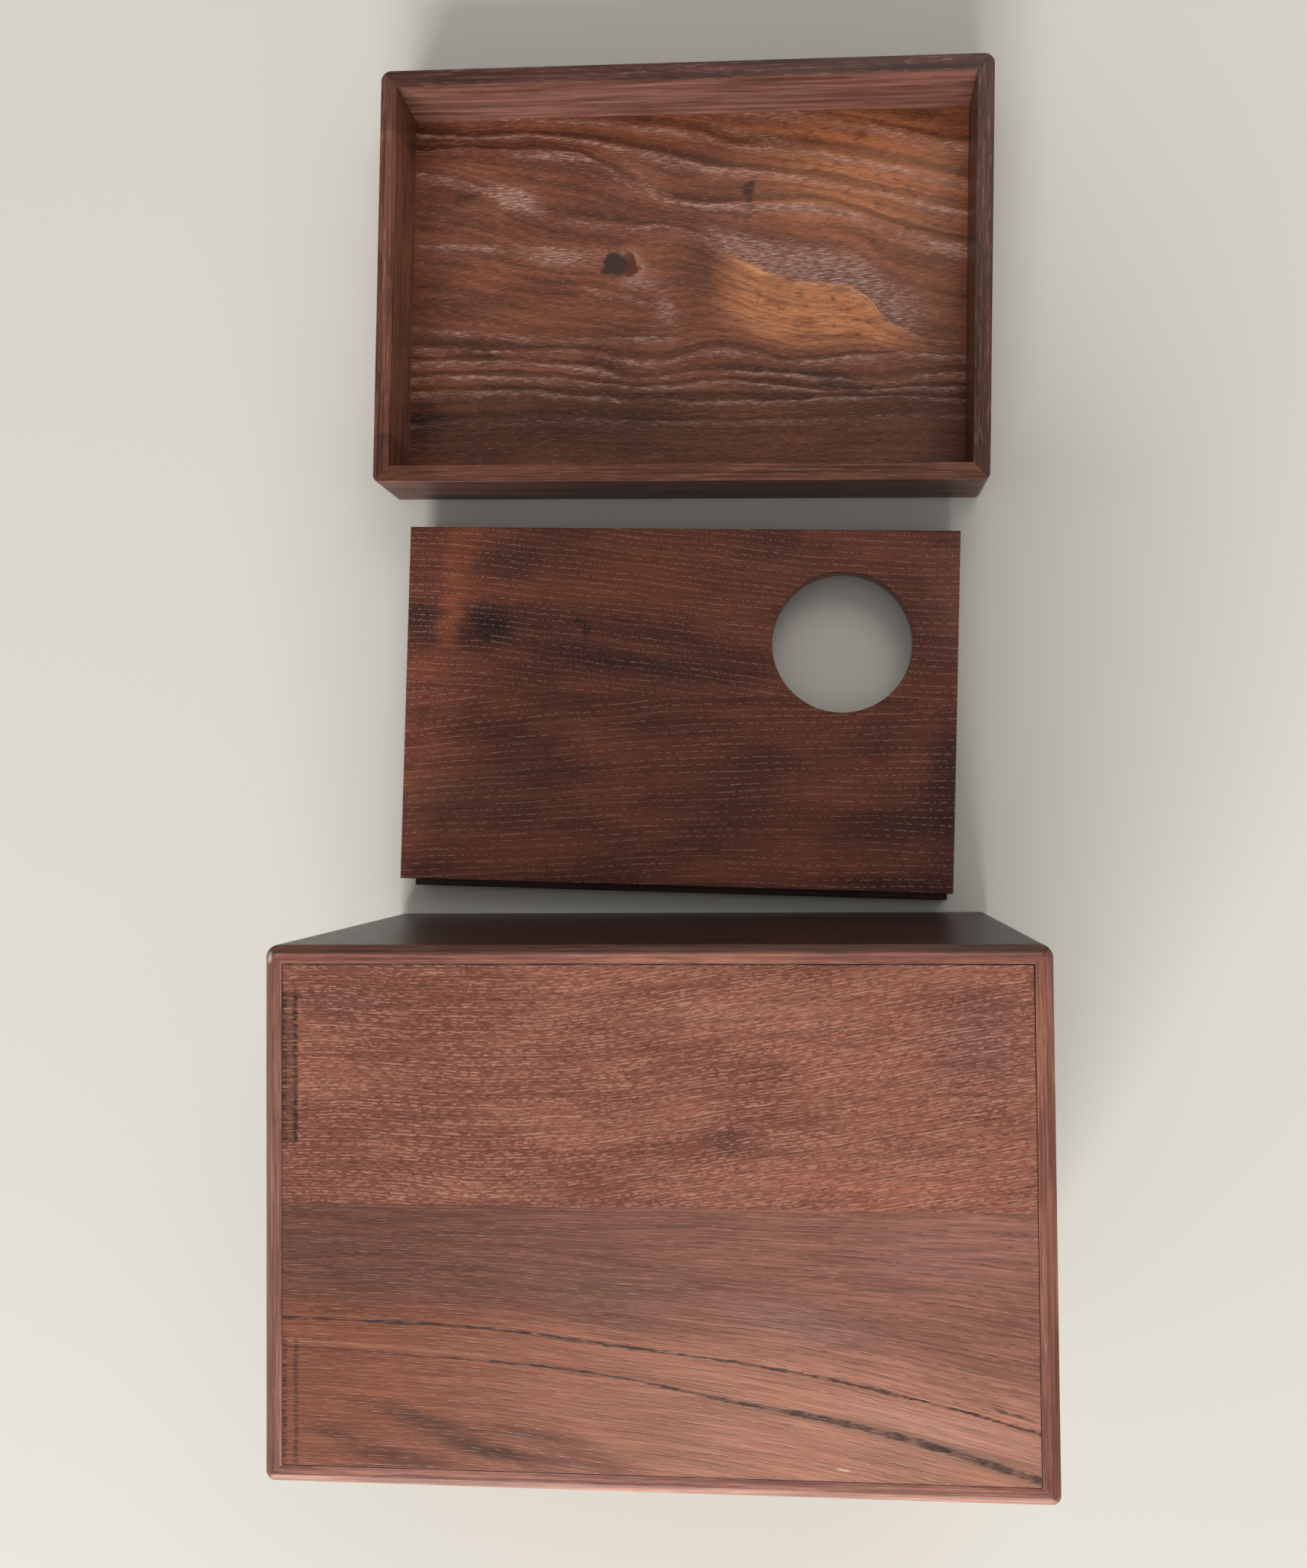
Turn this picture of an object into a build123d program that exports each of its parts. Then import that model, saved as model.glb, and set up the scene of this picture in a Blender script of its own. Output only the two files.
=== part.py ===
from build123d import *
from math import radians, sin
import os

os.makedirs("parts", exist_ok=True)

# A wooden box for tea utensils, laid out in its three loose parts. The box itself stands upside down
# in front, the shelf that drops into it lies behind on its battens, and the lid, which doubles as a
# tray, lies at the back with its open side up. Lengths are millimetres, angles are degrees,
# +X is right, +Y is to the back and +Z is up.

# The outside that box and tray share, so that the closed box is flush all round
LENGTH = 330.0
WIDTH = 225.5
CORNER_RADIUS = 5.5
FRONT_CORNER_RADIUS = 3.8
BEVEL_WIDTH = 3.6
BEVEL_DROP = 2.4
RIM_EASE = 0.8

# Box: walls of one thickness, rebated for the base at one edge and for the tray at the mouth
BOX_WALL = 12.0
BOX_WALL_HEIGHT = 172.5
BOX_RIM = 7.7
BASE_THICKNESS = 7.0
BASE_GAP = 0.2
BASE_CORNER_RADIUS = 0.8
BASE_ARRIS = 0.2
BASE_REAR_PLANK = 100.4
LIP_HEIGHT = 4.0
LIP_FIT = 0.3
LIP_EASE = 0.8

# Ledges inside the box that carry the shelf
LEDGE_DEPTH = 70.0
LEDGE_HEIGHT = 10.0
LEDGE_WIDTH = 12.0
LEDGE_EASE = 2.0

# Tray
TRAY_WALL = 9.0
TRAY_HEIGHT = 39.0
TRAY_RIM = 6.0
TRAY_FLOOR_THICKNESS = 5.0
TRAY_FLOOR_GAP = 0.3

# Shelf with a round hole for a tea caddy, which drops into the box with some play on each side
SHELF_END_PLAY = 2.0
SHELF_SIDE_PLAY = 1.25
SHELF_THICKNESS = 10.0
SHELF_REAR_PLANK = 90.8
HOLE_RADIUS = 38.0
HOLE_SIDE_MARGIN = 24.0
HOLE_REAR_MARGIN = 23.0
BATTEN_HEIGHT = 10.0
BATTEN_WIDTH = 20.0
BATTEN_END_INSET = 3.8
BATTEN_SHIFT = 1.7
BATTEN_OVERHANG = 4.0
REAR_BATTEN_INSET = 1.0

# Hidden splines across the mitred corners, stopped short of both edges of the wall
SPLINE_WIDTH = 6.0
SPLINE_THICKNESS = 2.0
SPLINE_STOP = 10.0

# Every other sharp arris of a board is eased by this much
ARRIS = 0.5

# Layout: the gaps left between the three parts, where each one is along X and how far it is turned
SHELF_GAP = 11.6
TRAY_GAP = 21.0
BOX_X = -1.3
SHELF_X = -5.1
SHELF_TURN = -1.91
TRAY_X = 0.0
TRAY_TURN = -1.38

# The shelf fills the inside of the box, with its front batten standing out in front of it
SHELF_LENGTH = LENGTH - 2 * (BOX_WALL + SHELF_END_PLAY)
SHELF_WIDTH = WIDTH - 2 * (BOX_WALL + SHELF_SIDE_PLAY) - BATTEN_OVERHANG

# Centres of the three parts, counted from the middle of the whole layout
tray_swing = (LENGTH / 2 - CORNER_RADIUS) * sin(radians(abs(TRAY_TURN)))
LAYOUT_DEPTH = 2 * WIDTH + SHELF_GAP + BATTEN_OVERHANG + SHELF_WIDTH + TRAY_GAP + tray_swing
BOX_Y = (WIDTH - LAYOUT_DEPTH) / 2
SHELF_Y = BOX_Y + WIDTH / 2 + SHELF_GAP + BATTEN_OVERHANG + SHELF_WIDTH / 2
TRAY_Y = SHELF_Y + SHELF_WIDTH / 2 + TRAY_GAP + WIDTH / 2

BOX_GROUND = Plane(Location((BOX_X, BOX_Y, 0)))
BOX_MOUTH = BOX_GROUND.offset(LIP_HEIGHT)
BOX_TOP = BOX_MOUTH.offset(BOX_WALL_HEIGHT)
TRAY_GROUND = Plane(Location((TRAY_X, TRAY_Y, 0), (0, 0, TRAY_TURN)))
SHELF_GROUND = Plane(Location((SHELF_X, SHELF_Y, 0), (0, 0, SHELF_TURN)))
SHELF_UNDERSIDE = SHELF_GROUND.offset(BATTEN_HEIGHT)

# The mitres run at 45 degrees from the outer corners and meet on the long centre line at +-mitre_x.
# Each outline follows them out to a point well past the walls.
mitre_x = (LENGTH - WIDTH) / 2
far_y = LENGTH - mitre_x
WALL_OUTLINES = {
    "front": [(-mitre_x, 0), (mitre_x, 0), (LENGTH, -far_y), (-LENGTH, -far_y)],
    "rear": [(-mitre_x, 0), (mitre_x, 0), (LENGTH, far_y), (-LENGTH, far_y)],
    "left": [(-mitre_x, 0), (-LENGTH, far_y), (-LENGTH, -far_y)],
    "right": [(mitre_x, 0), (LENGTH, far_y), (LENGTH, -far_y)],
}


def bevelled_frame(base, height, wall, outer_end, meeting_end):
    """Four walls in one: round corners, a bevel round the outer end and a square inside.

    The other end, where box and tray meet when the box is closed, is only eased.
    """
    with BuildPart() as frame:
        with BuildSketch(Plane.XY) as outline:
            Rectangle(LENGTH, WIDTH)
            fillet(outline.vertices().group_by(Axis.Y)[-1], radius=CORNER_RADIUS)
            fillet(outline.vertices().group_by(Axis.Y)[0], radius=FRONT_CORNER_RADIUS)
        extrude(amount=height)
        outer_face = frame.faces().filter_by(Axis.Z).sort_by(Axis.Z)[outer_end]
        chamfer(outer_face.edges(), length=BEVEL_WIDTH, length2=BEVEL_DROP, reference=outer_face)
        meeting_face = frame.faces().filter_by(Axis.Z).sort_by(Axis.Z)[meeting_end]
        fillet(meeting_face.edges(), radius=RIM_EASE)
        with BuildSketch(Plane.XY):
            Rectangle(LENGTH - 2 * wall, WIDTH - 2 * wall)
        extrude(amount=height, mode=Mode.SUBTRACT)
    return base * frame.part


def spline_outlines(base, wall):
    """Plan of the four corner splines, each one square to its mitre."""
    with BuildSketch(base.offset(SPLINE_STOP)) as outlines:
        for side_x, side_y in ((1, 1), (1, -1), (-1, 1), (-1, -1)):
            with Locations((side_x * (LENGTH - wall) / 2, side_y * (WIDTH - wall) / 2)):
                Rectangle(SPLINE_WIDTH, SPLINE_THICKNESS, rotation=-45 * side_x * side_y)
    return outlines.sketch


def half_outline(base, joint, side):
    """Plan of all that lies to the rear (side 1) or to the front (side -1) of a plank joint."""
    with BuildSketch(base) as half:
        with Locations((0, joint + side * WIDTH / 2)):
            Rectangle(LENGTH, WIDTH)
    return half.sketch


# Box walls: one frame with its lip, rebate and spline slots, cut apart at the mitres
with BuildPart() as box_frame:
    add(bevelled_frame(BOX_MOUTH, BOX_WALL_HEIGHT, BOX_WALL, outer_end=-1, meeting_end=0))
    lip_inset = TRAY_WALL + LIP_FIT
    with BuildSketch(BOX_MOUTH):
        Rectangle(LENGTH - 2 * lip_inset, WIDTH - 2 * lip_inset)
    lip = extrude(amount=-LIP_HEIGHT)
    chamfer(lip.faces().sort_by(Axis.Z)[0].edges(), length=LIP_EASE)
    with BuildSketch(BOX_MOUTH):
        Rectangle(LENGTH - 2 * BOX_WALL, WIDTH - 2 * BOX_WALL)
    extrude(amount=-LIP_HEIGHT, mode=Mode.SUBTRACT)
    with BuildSketch(BOX_TOP):
        RectangleRounded(LENGTH - 2 * BOX_RIM, WIDTH - 2 * BOX_RIM, BASE_CORNER_RADIUS + BASE_GAP)
    extrude(amount=-BASE_THICKNESS, mode=Mode.SUBTRACT)
    box_spline_length = BOX_WALL_HEIGHT - 2 * SPLINE_STOP
    extrude(spline_outlines(BOX_MOUTH, BOX_WALL), amount=box_spline_length, mode=Mode.SUBTRACT)

for side, outline in WALL_OUTLINES.items():
    with BuildPart() as box_wall:
        add(box_frame.part)
        with BuildSketch(BOX_GROUND):
            with BuildLine():
                Polyline(*outline, close=True)
            make_face()
        extrude(amount=LIP_HEIGHT + BOX_WALL_HEIGHT, mode=Mode.INTERSECT)
    box_wall.part.label = f"box_wall_{side}"
    export_step(box_wall.part, f"parts/box_wall_{side}.step")

with BuildPart() as box_corner_splines:
    extrude(spline_outlines(BOX_MOUTH, BOX_WALL), amount=box_spline_length)
box_corner_splines.part.label = "box_corner_splines"
export_step(box_corner_splines.part, "parts/box_corner_splines.step")

# Base of the box: a flush panel glued up from two planks
base_length = LENGTH - 2 * (BOX_RIM + BASE_GAP)
base_width = WIDTH - 2 * (BOX_RIM + BASE_GAP)
with BuildPart() as base_panel:
    with BuildSketch(BOX_TOP):
        RectangleRounded(base_length, base_width, BASE_CORNER_RADIUS)
    extrude(amount=-BASE_THICKNESS)
    fillet(base_panel.faces().sort_by(Axis.Z)[-1].edges(), radius=BASE_ARRIS)

for name, side in (("rear", 1), ("front", -1)):
    with BuildPart() as base_plank:
        add(base_panel.part)
        extrude(
            half_outline(BOX_TOP, base_width / 2 - BASE_REAR_PLANK, side),
            amount=-BASE_THICKNESS,
            mode=Mode.INTERSECT,
        )
    base_plank.part.label = f"box_base_{name}_plank"
    export_step(base_plank.part, f"parts/box_base_{name}_plank.step")

# Ledges on the short walls, whose mouth side carries the shelf
for name, side in (("left", -1), ("right", 1)):
    ledge_middle = side * (LENGTH / 2 - BOX_WALL - LEDGE_WIDTH / 2)
    with BuildPart() as box_ledge:
        with BuildSketch(BOX_MOUTH.offset(LEDGE_DEPTH)):
            with Locations((ledge_middle, 0)):
                Rectangle(LEDGE_WIDTH, WIDTH - 2 * BOX_WALL)
        extrude(amount=LEDGE_HEIGHT)
        free_edges = box_ledge.edges().filter_by(Axis.Y).group_by(Axis.X)[-1 if side < 0 else 0]
        chamfer(free_edges, length=LEDGE_EASE)
    box_ledge.part.label = f"box_ledge_{name}"
    export_step(box_ledge.part, f"parts/box_ledge_{name}.step")

# Tray walls: mitred like the box, with a rebate under them for the floor
with BuildPart() as tray_frame:
    add(bevelled_frame(TRAY_GROUND, TRAY_HEIGHT, TRAY_WALL, outer_end=0, meeting_end=-1))
    with BuildSketch(TRAY_GROUND):
        Rectangle(LENGTH - 2 * TRAY_RIM, WIDTH - 2 * TRAY_RIM)
    extrude(amount=TRAY_FLOOR_THICKNESS, mode=Mode.SUBTRACT)
    tray_spline_length = TRAY_HEIGHT - 2 * SPLINE_STOP
    extrude(spline_outlines(TRAY_GROUND, TRAY_WALL), amount=tray_spline_length, mode=Mode.SUBTRACT)

for side, outline in WALL_OUTLINES.items():
    with BuildPart() as tray_wall:
        add(tray_frame.part)
        with BuildSketch(TRAY_GROUND):
            with BuildLine():
                Polyline(*outline, close=True)
            make_face()
        extrude(amount=TRAY_HEIGHT, mode=Mode.INTERSECT)
    tray_wall.part.label = f"tray_wall_{side}"
    export_step(tray_wall.part, f"parts/tray_wall_{side}.step")

with BuildPart() as tray_corner_splines:
    extrude(spline_outlines(TRAY_GROUND, TRAY_WALL), amount=tray_spline_length)
tray_corner_splines.part.label = "tray_corner_splines"
export_step(tray_corner_splines.part, "parts/tray_corner_splines.step")

floor_inset = TRAY_RIM + TRAY_FLOOR_GAP
with BuildPart() as tray_floor:
    with BuildSketch(TRAY_GROUND):
        Rectangle(LENGTH - 2 * floor_inset, WIDTH - 2 * floor_inset)
    extrude(amount=TRAY_FLOOR_THICKNESS)
    fillet(tray_floor.faces().sort_by(Axis.Z)[0].edges(), radius=ARRIS)
tray_floor.part.label = "tray_floor"
export_step(tray_floor.part, "parts/tray_floor.step")

# Shelf: two planks edge to edge, with the caddy hole cut through both of them
with BuildPart() as shelf_board:
    with BuildSketch(SHELF_UNDERSIDE):
        Rectangle(SHELF_LENGTH, SHELF_WIDTH)
        hole_x = SHELF_LENGTH / 2 - HOLE_SIDE_MARGIN - HOLE_RADIUS
        hole_y = SHELF_WIDTH / 2 - HOLE_REAR_MARGIN - HOLE_RADIUS
        with Locations((hole_x, hole_y)):
            Circle(HOLE_RADIUS, mode=Mode.SUBTRACT)
    extrude(amount=SHELF_THICKNESS)
    for end in (0, -1):
        chamfer(shelf_board.faces().filter_by(Axis.Z).sort_by(Axis.Z)[end].edges(), length=ARRIS)

for name, side in (("rear", 1), ("front", -1)):
    with BuildPart() as shelf_plank:
        add(shelf_board.part)
        extrude(
            half_outline(SHELF_UNDERSIDE, SHELF_WIDTH / 2 - SHELF_REAR_PLANK, side),
            amount=SHELF_THICKNESS,
            mode=Mode.INTERSECT,
        )
    shelf_plank.part.label = f"shelf_{name}_plank"
    export_step(shelf_plank.part, f"parts/shelf_{name}_plank.step")

# Battens under the long edges of the shelf; the front one stands out as a lip
front_batten_middle = BATTEN_WIDTH / 2 - SHELF_WIDTH / 2 - BATTEN_OVERHANG
rear_batten_middle = SHELF_WIDTH / 2 - REAR_BATTEN_INSET - BATTEN_WIDTH / 2
for name, middle in (("front", front_batten_middle), ("rear", rear_batten_middle)):
    with BuildPart() as shelf_batten:
        with BuildSketch(SHELF_GROUND):
            with Locations((BATTEN_SHIFT, middle)):
                Rectangle(SHELF_LENGTH - 2 * BATTEN_END_INSET, BATTEN_WIDTH)
        extrude(amount=BATTEN_HEIGHT)
        fillet(shelf_batten.edges(), radius=ARRIS)
    shelf_batten.part.label = f"shelf_{name}_batten"
    export_step(shelf_batten.part, f"parts/shelf_{name}_batten.step")
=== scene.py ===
"""Looks of a box for tea utensils. The box stands on its mouth with its base up, its lid lies turned over as
a tray, and its loose shelf with the round caddy hole lies between them. All of it is lacquered hardwood."""

import math

import bpy
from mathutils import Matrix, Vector


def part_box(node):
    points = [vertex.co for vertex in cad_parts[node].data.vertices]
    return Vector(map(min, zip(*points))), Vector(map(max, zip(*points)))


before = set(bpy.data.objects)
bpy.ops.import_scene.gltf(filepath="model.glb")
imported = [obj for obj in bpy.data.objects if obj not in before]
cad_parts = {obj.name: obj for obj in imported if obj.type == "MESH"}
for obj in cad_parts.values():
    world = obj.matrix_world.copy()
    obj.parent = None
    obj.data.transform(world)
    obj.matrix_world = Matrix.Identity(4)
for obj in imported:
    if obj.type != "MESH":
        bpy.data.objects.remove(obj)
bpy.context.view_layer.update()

MILLIMETRE = 0.001

# How far the two loose pieces lie turned on the floor
SHELF_TURN = math.radians(-1.91)
TRAY_TURN = math.radians(-1.38)

# Refractive index of the finished wood, roughness of its lacquer, and how far the walls' arrises are worn
# round, in millimetres
FINISH_IOR = 1.35
LACQUER_ROUGHNESS = 0.18
WORN_ARRIS = 0.45

# How far the outlines of stains wander, and over what size of blotch, in millimetres
STAIN_WANDER = 5.0
STAIN_WANDER_SIZE = 9.0

# Ranges of the smooth lines that the materials follow, in millimetres from the middle of a piece
HALF_SPAN = 170.0
HALF_DEPTH = 120.0


# Material graphs


class Signal:
    """A number, colour or place that varies over a surface. Arithmetic on it adds nodes to its graph."""

    def __init__(self, graph, socket):
        self.graph = graph
        self.socket = socket

    def __add__(self, other):
        return self.graph.math("ADD", self, other)

    def __radd__(self, other):
        return self.graph.math("ADD", other, self)

    def __sub__(self, other):
        return self.graph.math("SUBTRACT", self, other)

    def __rsub__(self, other):
        return self.graph.math("SUBTRACT", other, self)

    def __mul__(self, other):
        return self.graph.math("MULTIPLY", self, other)

    def __rmul__(self, other):
        return self.graph.math("MULTIPLY", other, self)

    def __truediv__(self, other):
        return self.graph.math("DIVIDE", self, other)

    def __abs__(self):
        return self.graph.math("ABSOLUTE", self)


def tone(code):
    """The linear colour of an sRGB code such as 8A5A4A."""
    parts = [int(code[i : i + 2], 16) / 255 for i in (0, 2, 4)]
    linear = [p / 12.92 if p <= 0.04045 else ((p + 0.055) / 1.055) ** 2.4 for p in parts]
    return (*linear, 1.0)


class Graph:
    """The node graph of one material, with its places in millimetres in a piece's own frame."""

    def __init__(self, name, centre, turn):
        self.material = bpy.data.materials.new(name)
        self.material.use_nodes = True
        self.nodes = self.material.node_tree.nodes
        self.links = self.material.node_tree.links
        self.shader = self.nodes["Principled BSDF"]
        own = self.add("ShaderNodeTexCoord").outputs["Object"]
        mapping = self.add(
            "ShaderNodeMapping",
            vector_type="TEXTURE",
            inputs={
                "Vector": Signal(self, own),
                "Location": centre,
                "Rotation": (0, 0, turn),
                "Scale": (MILLIMETRE,) * 3,
            },
        )
        self.place = Signal(self, mapping.outputs[0])
        split = self.add("ShaderNodeSeparateXYZ", inputs={0: self.place})
        self.x, self.y, self.z = (Signal(self, output) for output in split.outputs)
        self.rough_place = self.roughened(STAIN_WANDER_SIZE, STAIN_WANDER)

    def add(self, kind, inputs=None, **settings):
        node = self.nodes.new(kind)
        for key, value in settings.items():
            setattr(node, key, value)
        for key, value in (inputs or {}).items():
            self.feed(node.inputs[key], value)
        return node

    def feed(self, socket, value):
        if isinstance(value, Signal):
            self.links.new(value.socket, socket)
        else:
            socket.default_value = value

    def roughened(self, size, shift):
        """The place, moved about by noise, so that what is drawn there gets an uneven outline."""
        stretch = self.add(
            "ShaderNodeVectorMath",
            {0: self.place, 1: (0.5 / size, 1 / size, 1 / size)},
            operation="MULTIPLY",
        )
        inputs = {"Vector": Signal(self, stretch.outputs[0]), "Scale": 1.0, "Detail": 3.0}
        noise = self.add("ShaderNodeTexNoise", inputs)
        away = self.add(
            "ShaderNodeVectorMath",
            {0: Signal(self, noise.outputs["Color"]), 1: (-0.5, -0.5, -0.5)},
            operation="ADD",
        )
        inputs = {0: Signal(self, away.outputs[0]), 1: (4 * shift, shift, 0), 2: self.place}
        node = self.add("ShaderNodeVectorMath", inputs, operation="MULTIPLY_ADD")
        return Signal(self, node.outputs[0])

    def math(self, operation, *values):
        node = self.add("ShaderNodeMath", dict(enumerate(values)), operation=operation)
        return Signal(self, node.outputs[0])

    def vector(self, x, y, z):
        node = self.add("ShaderNodeCombineXYZ", {0: x, 1: y, 2: z})
        return Signal(self, node.outputs[0])

    def ramp(self, value, low, high, start=0.0, end=1.0):
        """A smooth step from start to end as value goes from low to high."""
        inputs = {"Value": value, "From Min": low, "From Max": high, "To Min": start, "To Max": end}
        node = self.add("ShaderNodeMapRange", inputs, interpolation_type="SMOOTHSTEP")
        return Signal(self, node.outputs[0])

    def spread(self, noise, start, end):
        """Noise, which mostly lies between 0.3 and 0.7, stretched to go from start to end."""
        return self.ramp(noise, 0.3, 0.7, start, end)

    def between(self, value, span):
        """1 between the inner two of four rising numbers, falling to 0 at the outer two."""
        return self.ramp(value, span[0], span[1]) * self.ramp(value, span[3], span[2])

    def noise(self, vector, detail=2.0, roughness=0.5):
        inputs = {"Vector": vector, "Scale": 1.0, "Detail": detail, "Roughness": roughness}
        return Signal(self, self.add("ShaderNodeTexNoise", inputs).outputs[0])

    def most(self, *values):
        """The largest of some values."""
        largest, *others = values
        for value in others:
            largest = self.math("MAXIMUM", largest, value)
        return largest

    def cloud(self, size_x, size_y, seed, detail=2.0):
        """Soft noise whose blotches have the given length and width in millimetres."""
        vector = self.vector(self.x / size_x, self.y / size_y, self.z / size_y + seed)
        return self.noise(vector, detail)

    def course(self, points):
        """The y of a smooth line through given points, at each x."""
        node = self.add("ShaderNodeFloatCurve", {"Value": self.x / (2 * HALF_SPAN) + 0.5})
        curve = node.mapping.curves[0]
        placed = [(p[0] / (2 * HALF_SPAN) + 0.5, p[1] / (2 * HALF_DEPTH) + 0.5) for p in points]
        curve.points[0].location = placed[0]
        curve.points[-1].location = placed[-1]
        for point in placed[1:-1]:
            curve.points.new(*point)
        node.mapping.update()
        return (Signal(self, node.outputs[0]) - 0.5) * (2 * HALF_DEPTH)

    def stripe(self, distance, width, soft=0.6):
        """1 where the distance from a line is below half its width, falling to 0."""
        return self.ramp(abs(distance), width * (0.5 + soft), width * (0.5 - 0.5 * soft))

    def patch(self, centre, radii, turn=0.0, core=0.1):
        """1 in the core of an ellipse, falling to 0 at its rim."""
        inputs = {
            "Vector": self.rough_place,
            "Location": (*centre, 0),
            "Rotation": (0, 0, math.radians(turn)),
            "Scale": (*radii, 1000),
        }
        node = self.add("ShaderNodeMapping", inputs, vector_type="TEXTURE")
        length = self.add("ShaderNodeVectorMath", {0: Signal(self, node.outputs[0])}, operation="LENGTH")
        return self.ramp(Signal(self, length.outputs["Value"]), 1.0, core)

    def mix(self, first, second, share):
        node = self.add("ShaderNodeMix", {0: share, 6: first, 7: second}, data_type="RGBA")
        return Signal(self, node.outputs[2])

    def darken(self, colour, factor):
        """The colour times a number that varies."""
        grey = self.vector(factor, factor, factor)
        inputs = {0: 1.0, 6: colour, 7: grey}
        node = self.add("ShaderNodeMix", inputs, data_type="RGBA", blend_type="MULTIPLY")
        return Signal(self, node.outputs[2])

    def finish(self, colour, fine, relief, depth, gloss, matt=0.34, lacquer=LACQUER_ROUGHNESS, wear=0.0):
        """Lacquer over the wood. The relief is scaled by a depth in millimetres, the fine noise makes the
        wood up to 0.1 rougher than matt, lacquer is the roughness of the coat, and wear rounds the
        arrises."""
        inputs = {"Height": relief, "Distance": depth * MILLIMETRE, "Strength": 1.0}
        if wear:
            worn = self.add("ShaderNodeBevel", {"Radius": wear * MILLIMETRE}, samples=4)
            inputs["Normal"] = Signal(self, worn.outputs[0])
        bump = self.add("ShaderNodeBump", inputs)
        self.feed(self.shader.inputs["Base Color"], colour)
        self.feed(self.shader.inputs["Roughness"], self.spread(fine, matt, matt + 0.1))
        self.feed(self.shader.inputs["Normal"], Signal(self, bump.outputs[0]))
        self.shader.inputs["Coat Weight"].default_value = gloss
        self.shader.inputs["Coat Roughness"].default_value = lacquer
        self.shader.inputs["IOR"].default_value = FINISH_IOR
        return self.material


# Where the three loose pieces lie


def middle(*nodes):
    """The middle of some CAD nodes together, on the floor."""
    corners = [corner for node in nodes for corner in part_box(node)]
    x = [c.x for c in corners]
    y = [c.y for c in corners]
    return Vector(((min(x) + max(x)) / 2, (min(y) + max(y)) / 2, 0))


BOX_CENTRE = middle("box_wall_front", "box_wall_rear")
TRAY_CENTRE = middle("tray_wall_front", "tray_wall_rear", "tray_wall_left", "tray_wall_right")
SHELF_CENTRE = middle("shelf_rear_plank", "shelf_front_plank")


def box_graph(name):
    return Graph(name, BOX_CENTRE, 0.0)


def tray_graph(name):
    return Graph(name, TRAY_CENTRE, TRAY_TURN)


def shelf_graph(name):
    return Graph(name, SHELF_CENTRE, SHELF_TURN)


# Woods


def fibres(g, along, across, length, width, seed, detail=1.0):
    """Long thin noise that follows the grain, shifted from row to row."""
    shift = g.noise(g.vector(0.0, across / (3 * width), g.z / (3 * width) + seed), 1.0) * 3
    return g.noise(g.vector(along / length + shift, across / width, g.z / width + seed), detail, 0.6)


def pore_rows(g, across, spacing, dash, seed, thickness=0.3, limit=0.42):
    """Pores cut lengthwise: short light lines, one row of them in each growth ring."""
    phase = across / spacing
    row = g.math("FLOOR", phase)
    offset = abs(g.math("FRACT", phase) - 0.5 + g.noise(g.vector(g.x / dash, row, seed), 1.0) * 0.4 - 0.2)
    dots = g.noise(g.vector(g.x / dash, row * 7.3, seed + 3), 0.0)
    faint = g.noise(g.vector(g.x / 30, row * 3.1, seed + 6), 1.0)
    line = g.ramp(offset * spacing, thickness, thickness * 0.3)
    return line * g.ramp(dots, limit, limit + 0.12) * g.ramp(faint, 0.3, 0.6, 0.2, 1.0)


def blotches(g, colour, patches):
    """Soft spots of other colours: middle, radii, turn in degrees, colour and strength of each."""
    for centre, radii, turn, code, strength in patches:
        colour = g.mix(colour, tone(code), g.patch(centre, radii, turn) * strength)
    return colour


def mark(g, colour, centre, size, code, slope=0.0):
    """A small spot of colour, for a scratch in the lacquer and for a painted glint."""
    away = g.x - centre[0]
    spot = g.stripe(away, size[0]) * g.stripe(g.y - centre[1] - away * slope, size[1])
    return g.mix(colour, tone(code), spot * 0.8)


def reach(node):
    """How far a CAD node reaches right and to the rear of the box's middle, in millimetres."""
    corners = [(corner - BOX_CENTRE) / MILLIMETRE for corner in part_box(node)]
    return max(c.x for c in corners), max(c.y for c in corners)


BASE_RIGHT, BASE_REAR = reach("box_base_rear_plank")


def joint_line(g, colour):
    """Dark line where the base meets its frame, strongest along the rear."""
    inset = g.math("MINIMUM", BASE_RIGHT - abs(g.x), BASE_REAR - abs(g.y))
    strength = g.ramp(g.y, 20, 98, 0.25, 0.9) * g.ramp(g.cloud(14, 14, 27.0), 0.35, 0.6, 0.5, 1.0)
    return g.mix(colour, tone("1E100C"), g.ramp(inset, 0.65, 0.25) * strength)


REAR_PLANK_SPOTS = (
    ((33, 32), (15, 9), 0, "5A352C", 0.8),
    ((134, 72), (34, 34), 0, "6E4642", 0.6),
    ((-132, 88), (26, 14), 0, "6A423A", 0.5),
    ((-60, 58), (60, 20), 0, "8A5240", 0.35),
    ((40, 84), (70, 12), 0, "A46A56", 0.5),
    ((90, 14), (70, 9), 0, "A8654C", 0.6),
)


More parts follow.
